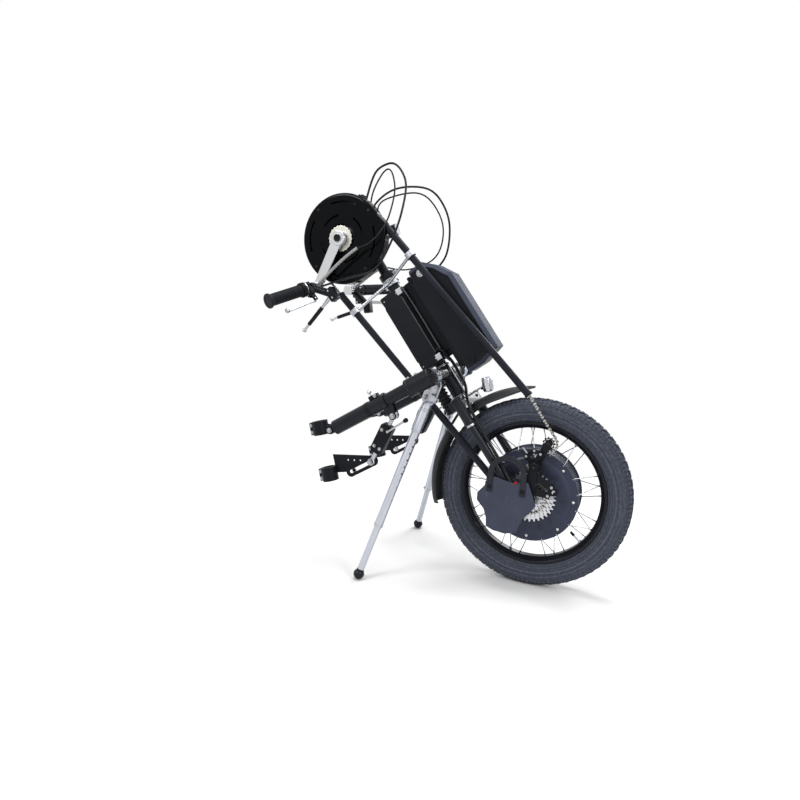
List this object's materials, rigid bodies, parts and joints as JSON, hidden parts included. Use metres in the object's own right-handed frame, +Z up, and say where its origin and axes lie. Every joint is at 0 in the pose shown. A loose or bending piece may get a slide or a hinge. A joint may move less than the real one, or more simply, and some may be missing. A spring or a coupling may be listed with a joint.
{
  "type": "wheelchair power assist",
  "caption": "Clip-on wheelchair power assist: hub-motor wheel in a steered fork, hand cranks with chain drive, battery, docking arms and a folding two-legged stand.",
  "frame": {"origin": "on the floor under the middle of the part, in its middle plane", "axes": "+X forward, +Y to the rider's left, +Z up"},
  "size_m": [0.9994, 0.5526, 1.1446],
  "materials": {
    "aluminium": "satin",
    "black_metal": "satin powder coat",
    "black_plastic": "matt moulded",
    "chrome": "polished",
    "dark_alloy": "black anodised",
    "gloss_black": "gloss moulded",
    "rubber": "matt",
    "steel": "brushed",
    "tyre": "treaded"
  },
  "bodies": {
    "frame": {"dock_frame": "dark_alloy", "headset_cups": "steel", "steering_damper": "rubber", "stand_bracket_right": "aluminium", "stand_bracket_left": "aluminium"},
    "steer": {"fork": "dark_alloy", "mast_tube": "dark_alloy", "mast_upper": "dark_alloy", "controller_box": "dark_alloy", "battery_rail": "dark_alloy", "chain_guard": "gloss_black", "chain_tube_front": "black_plastic", "chain_tube_rear": "black_plastic", "tube_bracket": "aluminium", "chain": "steel", "wheel_axle": "aluminium", "axle_apron": "black_plastic", "front_fender": "black_plastic", "rear_fender": "black_plastic", "headlamp": "chrome", "derailleur_body": "dark_alloy", "brake_caliper": "dark_alloy", "wire_harness": "rubber", "cables_right": "rubber", "cables_left": "rubber"},
    "wheel": {"tyre": "tyre", "rim": "dark_alloy", "spokes": "steel", "hub_motor": "dark_alloy", "brake_disc": "steel"},
    "sprockets": {"cassette": "steel"},
    "cage": {"derailleur_cage": "dark_alloy"},
    "upper_jockey": {"jockey_upper": "black_plastic"},
    "lower_jockey": {"jockey_lower": "black_plastic"},
    "crank": {"chainring": "steel", "crank_arm_right": "aluminium", "crank_arm_left": "aluminium"},
    "hand_right": {"grip_right": "black_plastic"},
    "hand_left": {"grip_left": "black_plastic"},
    "lever_right": {"brake_lever_right": "aluminium"},
    "lever_left": {"brake_lever_left": "aluminium"},
    "twist": {"shift_ring": "black_plastic"},
    "pack": {"battery": "black_plastic"},
    "key": {"battery_key": "steel"},
    "arm_right": {"arm_sleeve_right": "dark_alloy"},
    "clamp_right": {"frame_clamp_right": "dark_alloy"},
    "link_right": {"strut_right": "dark_alloy"},
    "latch_right": {"strut_lever_right": "black_metal"},
    "plate_right": {"chair_plate_right": "dark_alloy"},
    "leg_right": {"stand_leg_right": "aluminium"},
    "foot_right": {"stand_tube_right": "aluminium", "stand_foot_right": "rubber"},
    "arm_left": {"arm_sleeve_left": "dark_alloy"},
    "clamp_left": {"frame_clamp_left": "dark_alloy"},
    "link_left": {"strut_left": "dark_alloy"},
    "latch_left": {"strut_lever_left": "black_metal"},
    "plate_left": {"chair_plate_left": "dark_alloy"},
    "leg_left": {"stand_leg_left": "aluminium"},
    "foot_left": {"stand_tube_left": "aluminium", "stand_foot_left": "rubber"}
  },
  "joints": [
    {"name": "steering", "type": "hinge", "parent": "frame", "child": "steer", "pos_m": [0.20696, 0, 0.24374], "axis": [-0.6074, 0, 0.7944], "range_deg": [-24, 24], "stiffness_Nm_per_rad": 14},
    {"name": "wheel_spin", "type": "hinge", "parent": "steer", "child": "wheel", "pos_m": [0.23476, 0, 0.265], "axis": [0, 1, 0], "continuous": true},
    {"name": "crank_spin", "type": "hinge", "parent": "steer", "child": "crank", "pos_m": [-0.35884, 0, 0.93274], "axis": [0, 1, 0], "continuous": true, "deforming": ["cables_right", "cables_left"]},
    {"name": "sprocket_spin", "type": "hinge", "parent": "steer", "child": "sprockets", "pos_m": [0.23476, 0, 0.265], "axis": [0, 1, 0], "continuous": true},
    {"name": "derailleur_swing", "type": "hinge", "parent": "steer", "child": "cage", "pos_m": [0.24676, -0.061, 0.359], "axis": [0, 1, 0], "range_deg": [-12, 12], "stiffness_Nm_per_rad": 1.2, "deforming": ["chain"]},
    {"name": "upper_jockey_spin", "type": "hinge", "parent": "cage", "child": "upper_jockey", "pos_m": [0.27476, -0.061, 0.421], "axis": [0, 1, 0], "continuous": true},
    {"name": "lower_jockey_spin", "type": "hinge", "parent": "cage", "child": "lower_jockey", "pos_m": [0.24676, -0.061, 0.359], "axis": [0, 1, 0], "continuous": true},
    {"name": "hand_turn_right", "type": "hinge", "parent": "crank", "child": "hand_right", "pos_m": [-0.42189, -0.134, 0.79114], "axis": [0, 1, 0], "continuous": true},
    {"name": "brake_pull_right", "type": "hinge", "parent": "hand_right", "child": "lever_right", "pos_m": [-0.40178, -0.1446, 0.75841], "axis": [-0.6764, 0.4695, -0.5675], "range_deg": [0, 9], "stiffness_Nm_per_rad": 0.6, "springref_deg": -17.19},
    {"name": "hand_turn_left", "type": "hinge", "parent": "crank", "child": "hand_left", "pos_m": [-0.42189, 0.134, 0.79114], "axis": [0, 1, 0], "continuous": true},
    {"name": "brake_pull_left", "type": "hinge", "parent": "hand_left", "child": "lever_left", "pos_m": [-0.40974, 0.1446, 0.75469], "axis": [0.8695, -0.4695, 0.1533], "range_deg": [0, 9], "stiffness_Nm_per_rad": 0.6, "springref_deg": -17.19},
    {"name": "shift_twist", "type": "hinge", "parent": "hand_right", "child": "twist", "pos_m": [-0.42189, -0.134, 0.79114], "axis": [-0.3596, -0.8829, -0.3018], "range_deg": [-35, 35]},
    {"name": "battery_slide", "type": "slide", "parent": "steer", "child": "pack", "axis": [-0.6074, 0, 0.7944], "range_m": [0, 0.045]},
    {"name": "key_turn", "type": "hinge", "parent": "pack", "child": "key", "pos_m": [-0.12755, -0.042, 0.84774], "axis": [0, -1, 0], "range_deg": [0, 90]},
    {"name": "arm_slide_right", "type": "slide", "parent": "frame", "child": "arm_right", "axis": [0.8453, 0, 0.5344], "range_m": [-0.03, 0.03]},
    {"name": "clamp_tilt_right", "type": "hinge", "parent": "arm_right", "child": "clamp_right", "pos_m": [-0.31678, -0.165, 0.39579], "axis": [0, 1, 0], "range_deg": [-10, 10]},
    {"name": "link_swing_right", "type": "hinge", "parent": "arm_right", "child": "link_right", "pos_m": [-0.12906, -0.165, 0.46004], "axis": [0, 1, 0], "range_deg": [-8, 8]},
    {"name": "latch_turn_right", "type": "hinge", "parent": "link_right", "child": "latch_right", "pos_m": [-0.13735, -0.165, 0.41678], "axis": [0, 1, 0], "range_deg": [0, 70]},
    {"name": "plate_tilt_right", "type": "hinge", "parent": "link_right", "child": "plate_right", "pos_m": [-0.18879, -0.165, 0.32135], "axis": [0, 1, 0], "range_deg": [-8, 8]},
    {"name": "stand_fold_right", "type": "hinge", "parent": "frame", "child": "leg_right", "pos_m": [-0.04623, -0.12, 0.5124], "axis": [0.5428, 0.7792, -0.3134], "range_deg": [0, 18.7]},
    {"name": "stand_slide_right", "type": "slide", "parent": "leg_right", "child": "foot_right", "axis": [0.2566, 0.2014, 0.9453], "range_m": [0, 0.09]},
    {"name": "arm_slide_left", "type": "slide", "parent": "frame", "child": "arm_left", "axis": [0.8453, 0, 0.5344], "range_m": [-0.03, 0.03]},
    {"name": "clamp_tilt_left", "type": "hinge", "parent": "arm_left", "child": "clamp_left", "pos_m": [-0.31678, 0.165, 0.39579], "axis": [0, 1, 0], "range_deg": [-10, 10]},
    {"name": "link_swing_left", "type": "hinge", "parent": "arm_left", "child": "link_left", "pos_m": [-0.12906, 0.165, 0.46004], "axis": [0, 1, 0], "range_deg": [-8, 8]},
    {"name": "latch_turn_left", "type": "hinge", "parent": "link_left", "child": "latch_left", "pos_m": [-0.13735, 0.165, 0.41678], "axis": [0, 1, 0], "range_deg": [0, 70]},
    {"name": "plate_tilt_left", "type": "hinge", "parent": "link_left", "child": "plate_left", "pos_m": [-0.18879, 0.165, 0.32135], "axis": [0, 1, 0], "range_deg": [-8, 8]},
    {"name": "stand_fold_left", "type": "hinge", "parent": "frame", "child": "leg_left", "pos_m": [-0.04623, 0.12, 0.5124], "axis": [-0.5428, 0.7792, 0.3134], "range_deg": [0, 18.7]},
    {"name": "stand_slide_left", "type": "slide", "parent": "leg_left", "child": "foot_left", "axis": [0.2566, -0.2014, 0.9453], "range_m": [0, 0.09]}
  ],
  "couplings": [
    {"joint": "sprocket_spin", "follows": "crank_spin", "ratio": 2.6292},
    {"joint": "upper_jockey_spin", "follows": "crank_spin", "ratio": 5.3182},
    {"joint": "lower_jockey_spin", "follows": "crank_spin", "ratio": -5.3182}
  ]
}
